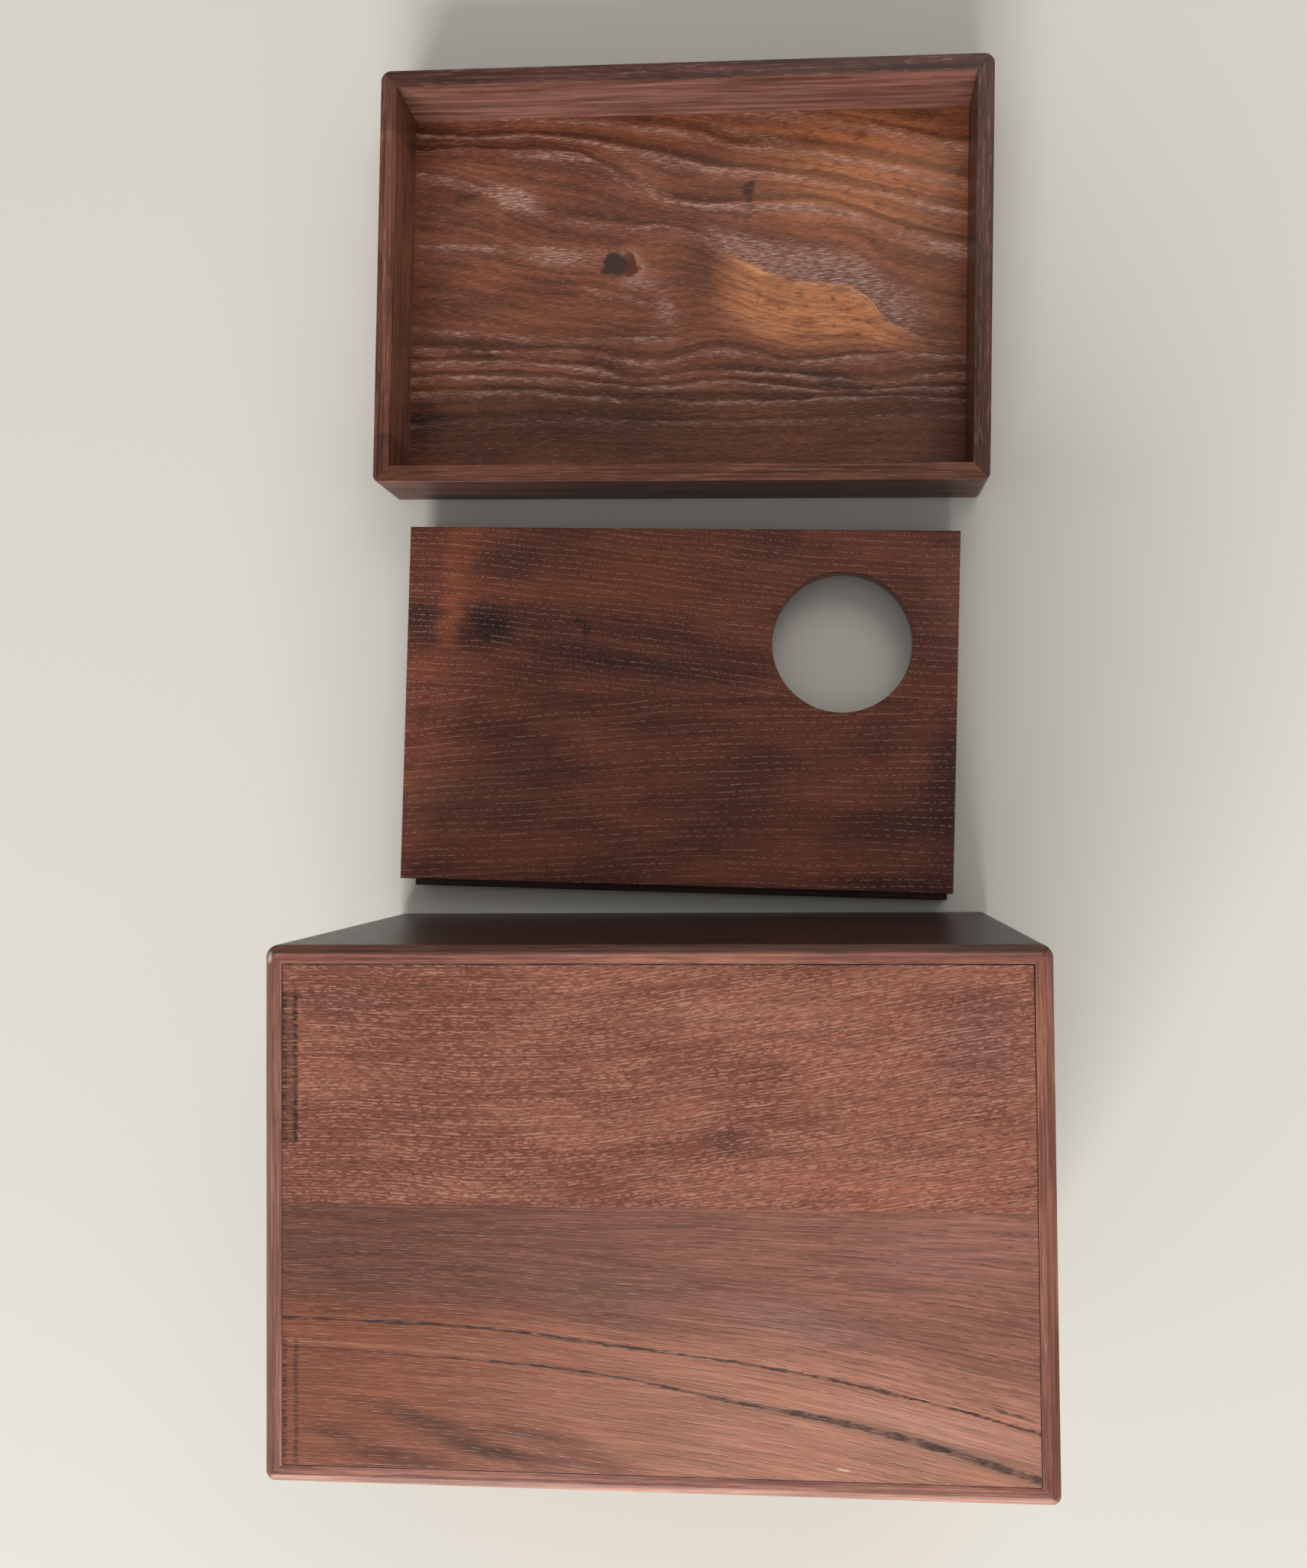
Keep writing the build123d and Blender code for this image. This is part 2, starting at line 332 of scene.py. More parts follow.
def base_rear_wood():
    """Upper plank of the base: even red-brown with short slanted light vessels."""
    g = box_graph("base_rear_wood")
    slope = g.ramp(g.x, -150, 20, 0.02, 0.17)
    across = g.y - g.x * slope + g.cloud(60, 40, 3.0) * 6
    rows = fibres(g, g.x, g.y, 50, 2.6, 4.0)
    fine = fibres(g, g.x, across, 5, 0.4, 2.0)
    colour = g.mix(tone("7C4737"), tone("905744"), g.ramp(g.cloud(60, 16, 1.0) + g.x / 1500, 0.36, 0.64))
    colour = blotches(g, colour, REAR_PLANK_SPOTS)
    colour = g.darken(colour, g.spread(rows, 0.88, 1.08))
    colour = g.darken(colour, g.spread(fine, 0.74, 1.18))
    short_pores = pore_rows(g, across, 1.3, 2.6, 5.0, 0.34)
    long_pores = pore_rows(g, across, 1.9, 3.6, 6.0, 0.38, 0.5)
    light = g.most(short_pores, long_pores)
    dark = pore_rows(g, across, 1.7, 2.8, 9.0, 0.4, 0.5)
    colour = g.mix(colour, tone("C4917A"), light * g.ramp(rows, 0.3, 0.6, 0.3, 0.66))
    colour = g.mix(colour, tone("42231B"), dark * 0.6)
    colour = joint_line(g, stain_band(g, colour))
    return g.finish(colour, fine, fine * 0.5 + light * 0.4 - dark, 0.06, 0.2)


# Band of stain down the left edge of the base: its border, the line inside it, and its two stretches
STAIN_BORDER = -151.2
STAIN_INNER_LINE = -156.0
STAIN_UPPER = (27, 31, 90, 98)
STAIN_LOWER = (-107, -103, -54, -50)


def stain_band(g, colour):
    """Dark worn band down the left edge of the base, with a ragged border and cross hatching."""
    ragged = g.x + g.noise(g.vector(g.x / 3, g.y / 1.6, 21.0), 3.0) * 2.4 - 1.2
    broken = g.noise(g.vector(g.x / 9, g.y / 0.9, 23.0), 2.0)
    upper = g.between(g.y, STAIN_UPPER)
    lower = g.between(g.y, STAIN_LOWER)
    where = g.most(upper, lower)
    band = g.ramp(ragged, STAIN_BORDER + 0.6, STAIN_BORDER - 0.8)
    border = g.stripe(ragged - STAIN_BORDER, 1.4) * g.ramp(broken, 0.34, 0.54)
    inner_line = g.stripe(ragged - STAIN_INNER_LINE, 1.4) * g.ramp(broken, 0.42, 0.56)
    colour = g.mix(colour, tone("50332A"), band * upper * g.ramp(broken, 0.3, 0.6, 0.1, 0.6))
    colour = g.mix(colour, tone("241815"), border * g.most(upper, lower * 0.75) * 0.85)
    return g.mix(colour, tone("2A1C18"), inner_line * where * 0.75)


# The two dark streaks from left to right, and the x of a short branch behind the upper one
STREAK_UPPER = ((-170, -43.5), (-120, -44.4), (-72, -46.2), (-22, -51.5), (28, -57), (80, -65.3), (170, -87))
STREAK_LOWER = (
    (-170, -55),
    (-104, -58),
    (-22, -64),
    (31, -73.5),
    (80, -81.8),
    (126, -93),
    (147, -99.4),
    (170, -106),
)
STREAK_BRANCH = (136, 142, 150, 156)
STREAK_CODE = "2E2423"

# The y from which the front plank's grain is counted, just behind its rear edge, and the count that the
# grain reaches at the upper streak
GRAIN_START = 6
UPPER_GRAIN = 50

# Middle of a short light scratch
BASE_SCRATCH = (77.6, -100.2)

FRONT_PLANK_SPOTS = (
    ((-125, -18), (60, 22), 0, "683F33", 0.7),
    # The three pale violet-grey spots here, across the middle and right, are painted sheen
    ((-20, -30), (60, 18), -6, "7A5448", 0.5),
    ((60, -42), (50, 12), -12, "946A60", 0.6),
    ((120, -12), (60, 26), 0, "99665A", 0.6),
    ((-118, -76), (44, 14), 0, "91553A", 0.6),
    ((-98, -84), (42, 6), -12, "4C2C20", 0.75),
    ((-74, -95), (46, 6), -12, "44281E", 0.8),
    ((-108, -101), (40, 6), -8, "4E2D21", 0.65),
    ((-132, -92), (26, 5), -12, "583423", 0.65),
    ((-46, -90), (34, 6), -12, "5C3728", 0.65),
    ((-28, -100), (36, 6), -8, "643B2E", 0.7),
    ((40, -92), (50, 12), -6, "B0755F", 0.7),
    ((115, -82), (60, 10), -12, "B98473", 0.8),
)


def base_front_wood():
    """Lower plank of the base: straight purple-brown grain, orange below two dark mineral streaks."""
    g = box_graph("base_front_wood")
    upper = g.course(STREAK_UPPER)
    lower = g.course(STREAK_LOWER)
    share = g.math("MINIMUM", (GRAIN_START - g.y) / (GRAIN_START - upper), 1.0)
    across = share * UPPER_GRAIN + g.most(upper - g.y, 0.0) + g.cloud(80, 30, 4.0) * 3
    broad = fibres(g, g.x, across, 70, 3.4, 1.0, 2.0)
    fine = fibres(g, g.x, across, 24, 0.4, 2.0)
    violet = g.mix(tone("6A4033"), tone("8A5A4A"), g.ramp(g.x, -120, 80))
    warm = g.mix(tone("824A33"), tone("AC755F"), g.ramp(g.x, -140, 80))
    colour = g.mix(violet, warm, g.ramp(across + g.cloud(30, 5, 6.0) * 16, 44, 62))
    colour = blotches(g, colour, FRONT_PLANK_SPOTS)
    colour = g.darken(colour, g.spread(broad, 0.84, 1.12))
    colour = g.darken(colour, g.spread(fine, 0.76, 1.18))
    light = pore_rows(g, across, 1.1, 5.0, 5.0, 0.26, 0.46)
    dark = pore_rows(g, across, 1.6, 6.0, 9.0, 0.3, 0.5)
    colour = g.mix(colour, tone("B98C7A"), light * 0.26)
    colour = g.mix(colour, tone("42261F"), dark * 0.42)
    colour = mineral_streaks(g, colour, upper, lower)
    colour = joint_line(g, stain_band(g, colour))
    colour = mark(g, colour, BASE_SCRATCH, (3.6, 0.7), "D9B49E", -0.12)
    return g.finish(colour, fine, fine * 0.5 + light * 0.4 - dark, 0.05, 0.2)


def mineral_streaks(g, colour, upper, lower):
    """Two dark lines that bend down to the right, the lower one thick and green-grey at its right end."""
    frayed = fibres(g, g.x, g.y, 14, 0.9, 12.0, 2.0) * 2.6 - 1.3
    broken = g.noise(g.vector(g.x / 11, 0.0, 14.0), 2.0)
    hatched = fibres(g, g.x, g.y, 5, 0.8, 17.0, 2.0)
    thin = g.stripe(g.y - upper + frayed, 0.9, 0.3) * g.ramp(broken, 0.38, 0.5, 0.45, 0.95)
    branch = g.stripe(g.y - upper - 4.5 + frayed, 0.9, 0.3) * g.between(g.x, STREAK_BRANCH) * 0.8
    width = g.ramp(g.x, -30, 125, 0.8, 2.6)
    parted = g.ramp(broken + hatched * 0.5, 0.9, 0.7, 0.4, 1.0) * g.ramp(hatched, 0.28, 0.5, 0.5, 1.0)
    thick = g.stripe(g.y - lower + frayed, width, 0.25) * parted
    start = g.ramp(g.x, -112, -60, 0.55, 1.0)
    halo = g.stripe(g.y - lower + frayed, width * 2.0) * g.ramp(g.x, -20, 60) * 0.35
    pale = g.stripe(g.y - lower - 2.4, 1.4) * g.ramp(g.x, -40, -90)
    colour = g.mix(colour, tone("6B564A"), halo)
    colour = g.mix(colour, tone("C08C6A"), pale * 0.2)
    lines = g.most(thin, branch, thick * start)
    return g.mix(colour, tone(STREAK_CODE), lines * 0.9)


def rail_wood(g, along, tones, seed, bright_stretch=None, painted_glint=None):
    """A wall of the box or tray, with its grain along the wall and a tone of its own above each height. It
    may be darker past a bright stretch, given by its middle and half its length, and have a painted glint."""
    length, width = (g.x, g.y) if along == "x" else (g.y, g.x)
    broad = g.ramp(g.noise(g.vector(length / 60, width / 5, g.z / 5 + seed), 2.0), 0.34, 0.66)
    bands = g.noise(g.vector(length / 90, width / 1.3, g.z / 1.7 + seed), 2.0)
    fine = g.noise(g.vector(length / 14, width / 0.4, g.z / 0.5 + seed), 1.0, 0.6)
    pores = g.noise(g.vector(length / 9, width / 0.4, g.z / 0.4 + seed + 4), 0.0)
    edge = 0.0
    (_, dark, bright), *upper_tones = tones
    colour = g.mix(tone(dark), tone(bright), broad)
    for height, dark, bright in upper_tones:
        edge = g.ramp(g.z, height - 0.3, height + 0.3)
        colour = g.mix(colour, g.mix(tone(dark), tone(bright), broad), edge)
    colour = g.darken(colour, g.spread(bands, 0.72, 1.24))
    colour = g.darken(colour, g.spread(fine, 0.78, 1.2))
    light = g.ramp(pores, 0.6, 0.7) * g.ramp(bands, 0.35, 0.6)
    colour = g.mix(colour, tone("B4907C"), light * (edge * 0.2 + 0.08))
    if bright_stretch:
        centre, half = bright_stretch
        colour = g.darken(colour, g.ramp(abs(length - centre), half - 0.6, half + 0.6, 1.0, 0.72))
    if painted_glint:
        # A light spot painted as a glint on the rear left corner
        colour = mark(g, colour, painted_glint, (1.6, 3.0), "CDBFB6", 0.6)
    return g.finish(colour, fine, fine * 0.5 + light * 0.4, 0.04, 0.04, 0.32, 0.2, WORN_ARRIS)


def shelf_wood(g, across, spacing, dash, seed, spots):
    """A plank of the shelf: dark red-brown with dotted rows of light vessels that run aslant."""
    across = across + g.cloud(90, 45, seed) * 8 + g.z * 0.9
    bands = fibres(g, g.x, across, 90, 3.0, seed + 1, 2.0)
    fine = fibres(g, g.x, across, 12, 0.5, seed + 2)
    colour = g.mix(tone("633225"), tone("7E4330"), g.ramp(g.cloud(60, 24, seed), 0.34, 0.66))
    colour = blotches(g, colour, spots)
    colour = g.darken(colour, g.spread(bands, 0.82, 1.14))
    colour = g.darken(colour, g.spread(fine, 0.8, 1.16))
    light = pore_rows(g, across, spacing, dash, seed + 9)
    stray = pore_rows(g, across + 0.9, 1.4, 2.0, seed + 14, 0.25, 0.56)
    light = g.most(light * 0.62, stray * 0.34)
    colour = g.mix(colour, tone("C0957F"), light)
    return g.finish(colour, fine, fine * 0.5 + light, 0.04, 0.1, lacquer=0.25)


SHELF_REAR_COURSE = ((-170, 9), (-125, 8.5), (-60, 2), (20, -7), (90, -13), (170, -15))
SHELF_REAR_SPOTS = (
    ((-20, 70), (70, 26), -5, "8A482E", 0.6),
    ((-123, 78), (14, 50), 3, "96502F", 0.55),
    ((-128, 46), (11, 28), -6, "9A5438", 0.7),
    ((-145, 47), (24, 20), 0, "311A19", 0.85),
    ((-106, 43), (24, 21), 14, "241313", 0.9),
    ((-94, 80), (28, 22), -20, "42241D", 0.55),
    ((-54, 42), (4, 12), 0, "30181A", 0.7),
    ((-30, 24), (74, 13), -9, "37191A", 0.75),
    ((-142, 18), (17, 14), 0, "8A4A34", 0.8),
    ((70, 70), (80, 22), -5, "7E4834", 0.6),
    ((150, 62), (26, 50), 0, "7C4C40", 0.6),
)
SHELF_FRONT_COURSE = ((-170, -13), (-100, -4), (-20, 5), (60, 10), (170, 13))
SHELF_FRONT_SPOTS = (
    ((-92, -2), (26, 10), 8, "8A482E", 0.75),
    ((5, -26), (46, 18), 6, "743D29", 0.6),
    ((-120, -50), (56, 26), 8, "7E4C3B", 0.5),
    ((118, -64), (36, 26), 0, "3E1F19", 0.5),
    ((150, -44), (26, 62), 0, "3A1C17", 0.85),
    ((75, -58), (30, 14), 0, "6E3324", 0.5),
    # These two long dark spots along the front edge are painted shade, where the box's shadow falls
    ((-40, -108), (190, 22), 0, "301812", 0.85),
    ((120, -98), (70, 18), 0, "2A1412", 0.75),
    ((-20, -84), (90, 14), 8, "4A251C", 0.5),
)


def shelf_rear_wood():
    g = shelf_graph("shelf_rear_wood")
    return shelf_wood(g, g.y - g.course(SHELF_REAR_COURSE), 3.3, 1.5, 30.0, SHELF_REAR_SPOTS)


def shelf_front_wood():
    g = shelf_graph("shelf_front_wood")
    lean = g.ramp(g.y, -95, 10, 0.6, 1.0)
    return shelf_wood(g, g.y - g.course(SHELF_FRONT_COURSE) * lean, 3.5, 2.5, 40.0, SHELF_FRONT_SPOTS)


# Growth rings of the tray floor from the rear to the front: the line of each one, how wide the wood is up to
# the next one in the ring coordinate, and how strongly it shows
RINGS = (
    (((-170, 126), (170, 108)), 14, 0.0),
    (((-170, 112), (60, 104), (102, 96.5), (136, 87), (170, 81)), 9, 0.7),
    (((-170, 107), (-44, 100.5), (9, 92), (25, 86), (48, 84.5), (105, 74), (170, 58)), 11, 0.9),
    (((-170, 98), (-126, 94.5), (-81, 94), (-21, 83), (9, 75), (66, 67), (93, 61), (170, 41)), 12, 1.0),
    (
        ((-170, 87), (-81, 85.5), (-62, 83), (-14, 57), (3, 53), (60, 53), (89, 49), (112, 39), (170, 23)),
        20,
        1.0,
    ),
    (
        ((-170, 74), (-138, 72), (-76, 48), (-43, 42.5), (3, 38), (21, 27), (58, 10))
        + ((94, 4), (120, -19), (170, -29)),
        52,
        0.6,
    ),
    (
        ((-170, -25), (-86, -30), (-54, -30), (-22, -36), (22, -28), (59, -36.5))
        + ((107, -33), (130, -33), (170, -36)),
        9,
        0.8,
    ),
    (
        ((-170, -35.5), (-123, -34.5), (-59, -38.5), (-24, -45), (11, -42), (82, -46))
        + ((106, -49), (133, -45), (170, -45)),
        8,
        0.9,
    ),
    (((-170, -44), (-91, -43.5), (-17, -50), (13, -47.5), (93, -53), (127, -51.5), (170, -53)), 8, 1.0),
    (((-170, -52.5), (-86, -52), (-43, -56), (46, -58.5), (98, -57), (170, -60)), 13, 0.9),
    (((-170, -72), (-70, -67.5), (-22, -69), (75, -69), (99, -67), (170, -68)), 28, 0.5),
    (((-170, -97), (170, -97)), 0, 0.0),
)

# Short ring lines left of the knot, drawn over the others: points, first and last x
SHORT_RINGS = (
    (((-170, 33), (-156, 33), (-78, 30), (-43, 28), (-29, 25), (170, 0)), -170, -30),
    (((-170, 10), (-52, 6), (-19, -4), (-6, -16), (-1, -21), (170, -60)), -56, -6),
    (((-170, -13), (-155, -14), (-77, -21), (-8, -22), (170, -22)), -170, -6),
)

TRAY_FLOOR_SPOTS = (
    ((-120, 20), (60, 70), 0, "6B3F2D", 0.6),
    ((100, 66), (110, 60), -12, "B26C42", 0.9),
    # This spot along the front, and the dark spot at the front left corner three lines down, are partly the
    # wood's own tone and partly painted shade from the front wall
    ((-60, -72), (140, 26), 0, "50301F", 0.75),
    ((90, -72), (100, 26), 0, "744026", 0.8),
    ((8, 17), (22, 30), 10, "55301F", 0.5),
    ((-150, -70), (26, 18), 0, "3C2118", 0.8),
    ((134, 4), (26, 60), 0, "84502F", 0.6),
    ((-112, 14), (30, 13), 0, "945438", 0.6),
    ((-126, 60), (11, 7), 20, "4A2819", 0.85),
    ((35, 52), (5, 20), 0, "552D1E", 0.7),
    ((36, 62), (4, 10), 0, "40221A", 0.8),
    ((96, 90), (9, 4), 0, "5C3222", 0.7),
    ((131, 101), (10, 5), 0, "5C3222", 0.7),
    ((-116, -31), (18, 5), -10, "3E2219", 0.7),
    ((-42, -36), (18, 5), -10, "432419", 0.7),
    ((82, -47), (32, 8), -14, "3E211A", 0.75),
)

# Ring coordinates of the orange patch: its sharp rear edge and its soft front edge
PATCH_REAR = 66.6
PATCH_FRONT = (100, 118)

# Places with many open pores, which also get a purple-grey tint as painted sheen
TRAY_FLOOR_PORES_AND_SHEEN = (
    ((-98, 58), (26, 11), -22, 1.0),
    ((-72, 24), (38, 10), -4, 0.8),
    ((116, -10), (30, 24), -32, 0.75),
    ((-12, -6), (9, 20), 24, 0.6),
    ((-24, 8), (24, 7), 0, 0.6),
    ((-20, 64), (34, 7), -42, 0.5),
    ((40, 90), (44, 6), -12, 0.5),
)


def ring_coordinate(g, lines, wander):
    """A number that grows from the rear to the front of the tray and is the same all along a growth ring."""
    total = 0.0
    for (_, step, _), rear, front in zip(RINGS, lines, lines[1:]):
        share = (rear - g.y + wander) / (rear - front)
        inside = g.math("MINIMUM", g.most(share, 0.0), 1.0)
        total = inside * step + total
    return total


def ring_edge(g, distance, fade):
    """1 just in front of a growth ring, which starts sharply and fades over some millimetres."""
    return g.ramp(distance, -0.5, 0.4) * g.ramp(distance, fade, 0.8)


def ring_lines(g, ring, wander):
    """Light early wood at every growth ring, and dark late wood just behind it."""
    light = 0.0
    dark = 0.0
    place = 0.0
    for _, step, strength in RINGS[:-1]:
        if strength:
            light = g.most(light, ring_edge(g, ring - place, 5.0) * strength)
            dark = g.most(dark, g.stripe(ring - place + 2.0, 2.2, 0.4) * strength)
        place += step
    for points, first, last in SHORT_RINGS:
        there = g.between(g.x, (first - 4, first + 4, last - 3, last + 5))
        light = g.most(light, ring_edge(g, g.course(points) - g.y + wander, 7.0) * there * 0.7)
    return light, dark


def knot(g, colour):
    """A small dark knot of two tones with a light fringe round its right side."""
    fringe = g.patch((-34, 17.5), (17, 14), 0, 0.45) * (1 - g.patch((-36, 19), (11, 9), 0, 0.7))
    fringe = fringe * g.ramp(g.x, -42, -30)
    strands = g.ramp(g.noise(g.vector(g.x / 2.5, g.y / 0.5, 31.0), 1.0), 0.4, 0.6, 0.2, 0.75)
    colour = g.mix(colour, tone("B98C78"), fringe * strands)
    colour = g.mix(colour, tone("392A23"), g.patch((-40, 19.5), (7.5, 8), -8, 0.75) * 0.9)
    return g.mix(colour, tone("54291F"), g.patch((-32.5, 18.5), (5.5, 8), -14, 0.75) * 0.8)


def tray_floor_wood():
    """The tray's floor: one figured plank, orange to brown, with light vessels along its growth rings."""
    g = tray_graph("tray_floor_wood")
    wander = g.cloud(16, 7, 2.0, 3.0) * 4.4 - 2.2
    ring = ring_coordinate(g, [g.course(points) for points, _, _ in RINGS], wander)
    bands = g.noise(g.vector(g.x / 80, ring / 2.2, 1.0), 2.0)
    fine = fibres(g, g.x, g.y, 6, 0.45, 2.0)
    colour = g.mix(tone("703E2A"), tone("864E35"), g.ramp(g.cloud(50, 20, 3.0), 0.35, 0.65))
    colour = blotches(g, colour, TRAY_FLOOR_SPOTS)
    inside = g.between(ring, (PATCH_REAR - 0.8, PATCH_REAR, *PATCH_FRONT)) * g.ramp(g.x, 6, 44)
    plateau = g.patch((66, -4), (78, 33), -14, 0.55) * inside
    colour = g.mix(colour, tone("C67F52"), plateau)
    colour = g.mix(colour, tone("D09A72"), g.stripe(ring - PATCH_REAR - 1.8, 2.4) * plateau * 0.6)
    colour = g.mix(colour, tone("8C5034"), g.ramp(g.cloud(24, 7, 16.0), 0.5, 0.7) * plateau * 0.7)
    specks = g.ramp(g.cloud(6, 3, 19.0, 3.0), 0.58, 0.7) * g.ramp(g.x, -20, 60)
    colour = g.mix(colour, tone("6A3A24"), specks * 0.6)
    light, dark = ring_lines(g, ring, wander)
    colour = g.darken(colour, g.spread(bands, 0.72, 1.2))
    colour = g.darken(colour, 1 - dark * (1 - plateau) * 0.4)
    colour = g.darken(colour, g.spread(fine, 0.72, 1.24))
    outside = g.between(ring, (54, 60, PATCH_REAR - 0.8, PATCH_REAR)) * g.between(g.x, (2, 26, 104, 140))
    faded = g.ramp(g.noise(g.vector(g.x / 34, ring / 5, 8.0), 2.0), 0.34, 0.6, 0.3, 1.0)
    pores_and_sheen = g.most(light * faded, outside * 0.8)
    for centre, radii, turn, strength in TRAY_FLOOR_PORES_AND_SHEEN:
        pores_and_sheen = g.most(pores_and_sheen, g.patch(centre, radii, turn) * strength)
    pores_and_sheen = pores_and_sheen * (1 - plateau)
    # The porous places get a purple-grey tint, which is painted sheen
    colour = g.mix(colour, tone("94685A"), pores_and_sheen * 0.4)
    hair = fibres(g, g.x, g.y, 5, 0.38, 7.0)
    open_pores = g.ramp(hair + pores_and_sheen * 0.16, 0.6, 0.74)
    colour = g.mix(colour, tone("CFA594"), open_pores * g.ramp(pores_and_sheen, 0.0, 0.8, 0.35, 0.75))
    colour = knot(g, colour)
    return g.finish(colour, fine, fine * 0.5 + open_pores * 0.6, 0.05, 0.1, lacquer=0.25)


def dress(nodes, material):
    """Gives CAD nodes their finish."""
    for node in nodes:
        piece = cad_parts[node]
        for place in piece.material_slots:
            place.material = material


def top(node):
    """The height of a CAD node in millimetres."""
    return max(corner.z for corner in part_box(node)) / MILLIMETRE


# Heights where the tone of a wall changes, in millimetres above the floor
BOX_FRAME = top("box_wall_front") - 0.4
BOX_BEVEL = BOX_FRAME - 2.2
TRAY_RIM = top("tray_wall_front") - 0.7

# Dark and bright tones of each wall, from the bottom up
# The box's tones differ from side to side as painted light and shade: the front bevel is painted lit, and
# the rear wall is painted darker, partly for its own tone and partly as painted shade
BOX_TONES = {
    "front": (("5A3429", "774A3C"), ("8A5C4C", "B07C6A"), ("7A4C3F", "986556")),
    "rear": (("22110D", "331C16"), ("5E392E", "744A3D"), ("7E5044", "986455")),
    "left": (("5A3429", "774A3C"), ("6E453A", "8A5B4D"), ("7C5044", "98675A")),
    "right": (("5A3429", "774A3C"), ("744839", "925F50"), ("7A4B3E", "93604F")),
}
# The tray's walls and rims are each painted lighter or darker for the light that falls on them: the inner
# rear and left walls are painted lit, the front wall is painted in shade, and each rim has its own painted
# shade
TRAY_TONES = {
    "front": (("3A1F17", "553024"), ("5C3525", "7C4A38")),
    "rear": (("623E34", "7E564A"), ("40241C", "58342A")),
    "left": (("7C4F3D", "98634F"), ("5A3326", "784A3A")),
    "right": (("482B20", "60392C"), ("40251B", "563327")),
}
LEDGE_TONES = (("5A3028", "7A4C3E"),)
TRAY_SPLINE_TONES = (("4A2A20", "66402F"),)
BATTEN_TONES = (("2A130D", "4A241B"),)

# The side of each wall, and the axis that its grain follows
WALLS = (("front", "x"), ("rear", "x"), ("left", "y"), ("right", "y"))

# Middle of a painted glint at the box's rear left corner, and middle and half length of the bright stretch
# of the tray's left wall
BOX_PAINTED_GLINT = (-162.8, 107.6)
TRAY_BRIGHT_STRETCH = (-3, 83)


def zones(heights, tones):
    """Heights from which a pair of tones holds, for rail_wood."""
    return [(height, dark, bright) for height, (dark, bright) in zip(heights, tones)]


def dress_planks():
    dress(("box_base_rear_plank",), base_rear_wood())
    dress(("box_base_front_plank",), base_front_wood())
    dress(("shelf_rear_plank",), shelf_rear_wood())
    dress(("shelf_front_plank",), shelf_front_wood())
    dress(("tray_floor",), tray_floor_wood())


def dress_walls():
    for number, (side, along) in enumerate(WALLS):
        seed = 50.0 + number * 3.7
        tones = zones((0, BOX_BEVEL, BOX_FRAME), BOX_TONES[side])
        painted_glint = BOX_PAINTED_GLINT if side == "left" else None
        wood = rail_wood(box_graph(f"box_{side}_wood"), along, tones, seed, painted_glint=painted_glint)
        dress((f"box_wall_{side}",), wood)
        tones = zones((0, TRAY_RIM), TRAY_TONES[side])
        stretch = TRAY_BRIGHT_STRETCH if side == "left" else None
        wood = rail_wood(tray_graph(f"tray_{side}_wood"), along, tones, seed + 19, stretch)
        dress((f"tray_wall_{side}",), wood)


def dress_small_parts():
    """Ledges, splines and battens."""
    ledge = zones((0,), LEDGE_TONES)
    dress(("box_ledge_left", "box_ledge_right"), rail_wood(box_graph("ledge_wood"), "y", ledge, 91.0))
    dress(("box_corner_splines",), rail_wood(box_graph("box_spline_wood"), "x", ledge, 94.0))
    spline = zones((0,), TRAY_SPLINE_TONES)
    dress(("tray_corner_splines",), rail_wood(tray_graph("tray_spline_wood"), "x", spline, 97.0))
    batten = rail_wood(shelf_graph("batten_wood"), "x", zones((0,), BATTEN_TONES), 99.0)
    dress(("shelf_front_batten", "shelf_rear_batten"), batten)


# Floor, light and camera


# Half the side of the floor in metres, and its colour
FLOOR_HALF = 4.0
FLOOR_CODE = "DAD6CC"


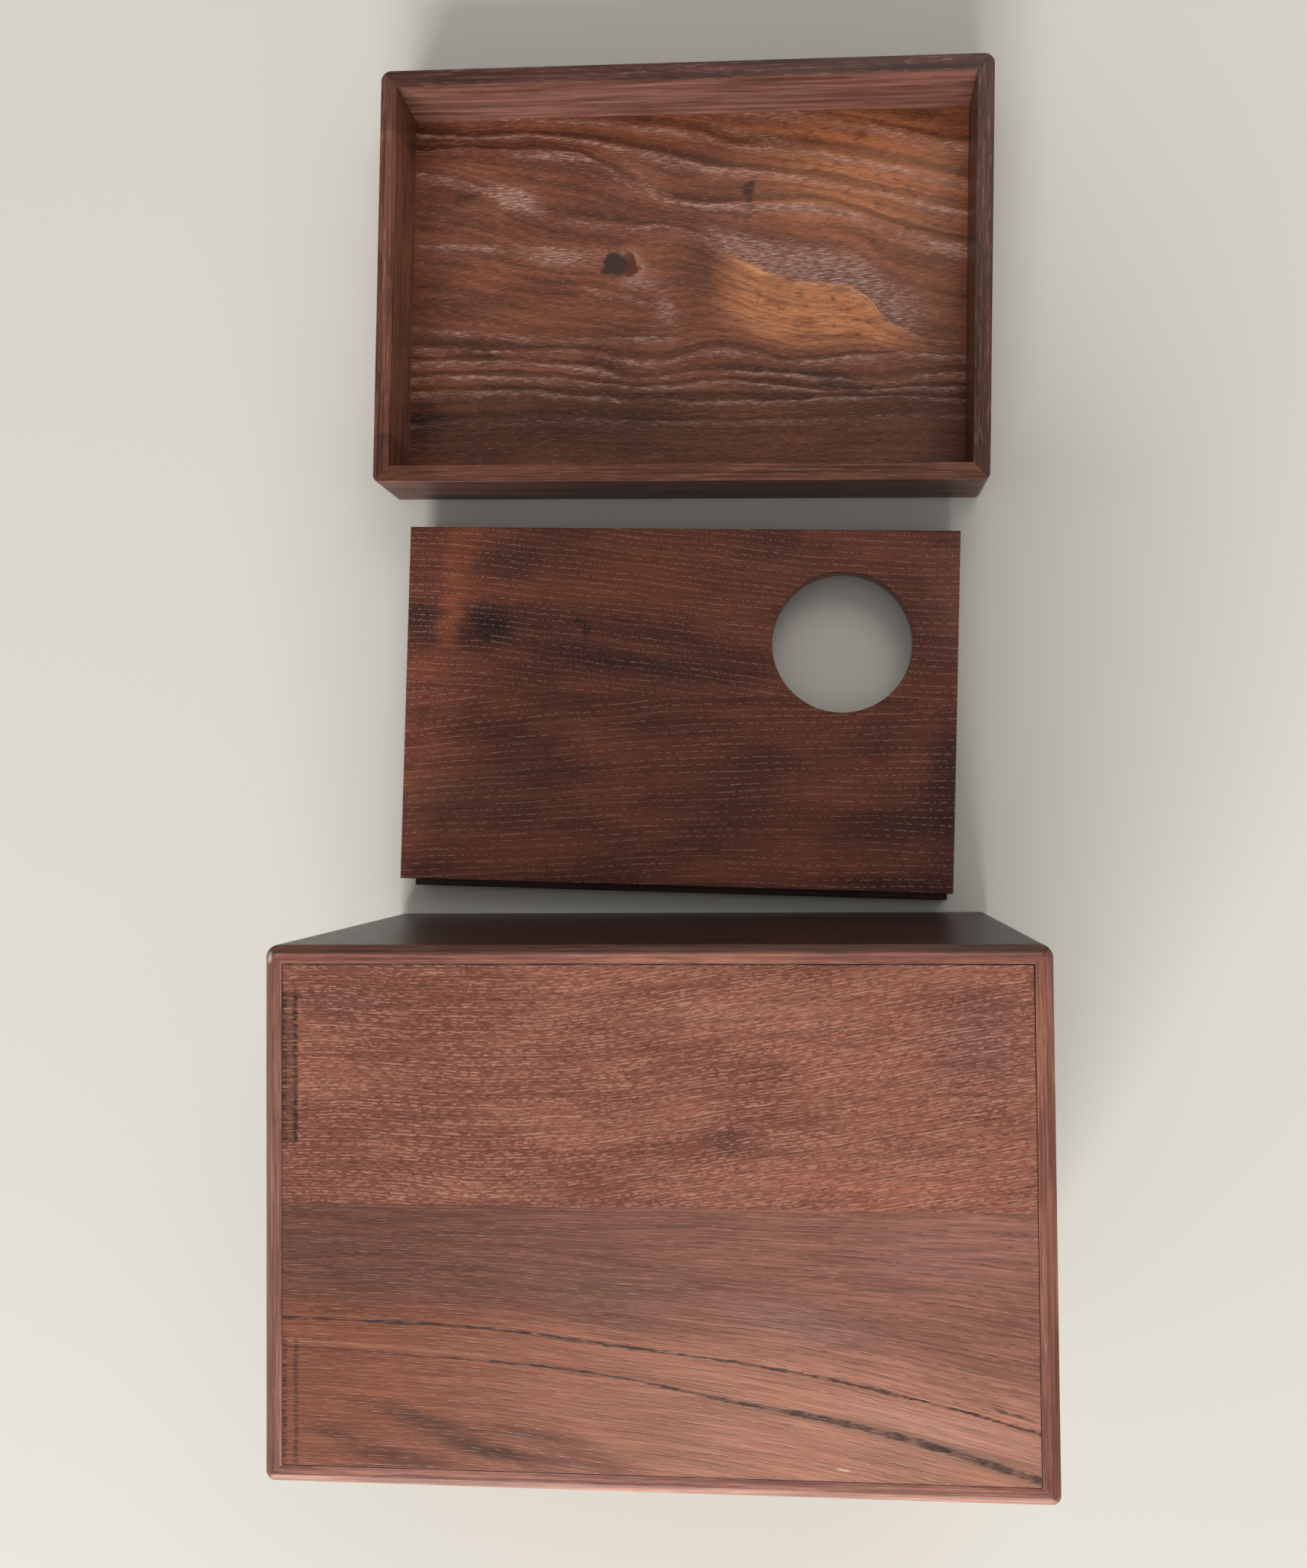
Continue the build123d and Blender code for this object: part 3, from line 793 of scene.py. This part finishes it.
def floor():
    """A plain pale floor."""
    mesh = bpy.data.meshes.new("floor")
    corners = [(x * FLOOR_HALF, y * FLOOR_HALF, 0) for x, y in ((-1, -1), (1, -1), (1, 1), (-1, 1))]
    mesh.from_pydata(corners, [], [(0, 1, 2, 3)])
    piece = bpy.data.objects.new("floor", mesh)
    bpy.context.scene.collection.objects.link(piece)
    material = bpy.data.materials.new("floor_paper")
    material.use_nodes = True
    shader = material.node_tree.nodes["Principled BSDF"]
    shader.inputs["Base Color"].default_value = tone(FLOOR_CODE)
    shader.inputs["Roughness"].default_value = 0.9
    mesh.materials.append(material)


# Name, place, target, size in metres and power in watts of each lamp
LAMPS = (
    ("window", (-0.7, -4.6, 2.2), (0, 0, 0), (3.4, 1.8), 370),
    ("ceiling", (0.9, 2.2, 2.4), (0, 0.1, 0), (2.4, 1.6), 20),
)
WORLD_STRENGTH = 0.37


def area_light(name, place, target, size, power):
    data = bpy.data.lights.new(name, "AREA")
    data.shape = "RECTANGLE"
    data.size, data.size_y = size
    data.energy = power
    lamp = bpy.data.objects.new(name, data)
    lamp.location = place
    lamp.rotation_euler = (Vector(target) - Vector(place)).to_track_quat("-Z", "Y").to_euler()
    bpy.context.scene.collection.objects.link(lamp)


def studio():
    """Soft light from one side, a weak lamp above, and an even grey world."""
    world = bpy.data.worlds.new("studio")
    world.use_nodes = True
    background = world.node_tree.nodes["Background"]
    background.inputs["Color"].default_value = (1, 1, 1, 1)
    background.inputs["Strength"].default_value = WORLD_STRENGTH
    bpy.context.scene.world = world
    for lamp in LAMPS:
        area_light(*lamp)


# Place in metres, turn in degrees, sensor and lens in millimetres, and shift as a share of the sensor
CAMERA_PLACE = (0.0621065, -0.0650322, 0.6835885)
CAMERA_DEGREES = (1.2709, 4.2659, -0.4899)
SENSOR = 36.0
LENS = 28.166
SHIFT = (-0.03603, 0.0035)


def camera():
    data = bpy.data.cameras.new("camera")
    data.sensor_fit = "VERTICAL"
    data.sensor_width = SENSOR
    data.sensor_height = SENSOR
    data.lens = LENS
    data.shift_x, data.shift_y = SHIFT
    data.clip_start = 0.01
    view = bpy.data.objects.new("camera", data)
    view.location = CAMERA_PLACE
    view.rotation_euler = [math.radians(angle) for angle in CAMERA_DEGREES]
    bpy.context.scene.collection.objects.link(view)
    bpy.context.scene.camera = view
    bpy.context.scene.view_settings.view_transform = "Standard"


dress_planks()
dress_walls()
dress_small_parts()
floor()
studio()
camera()
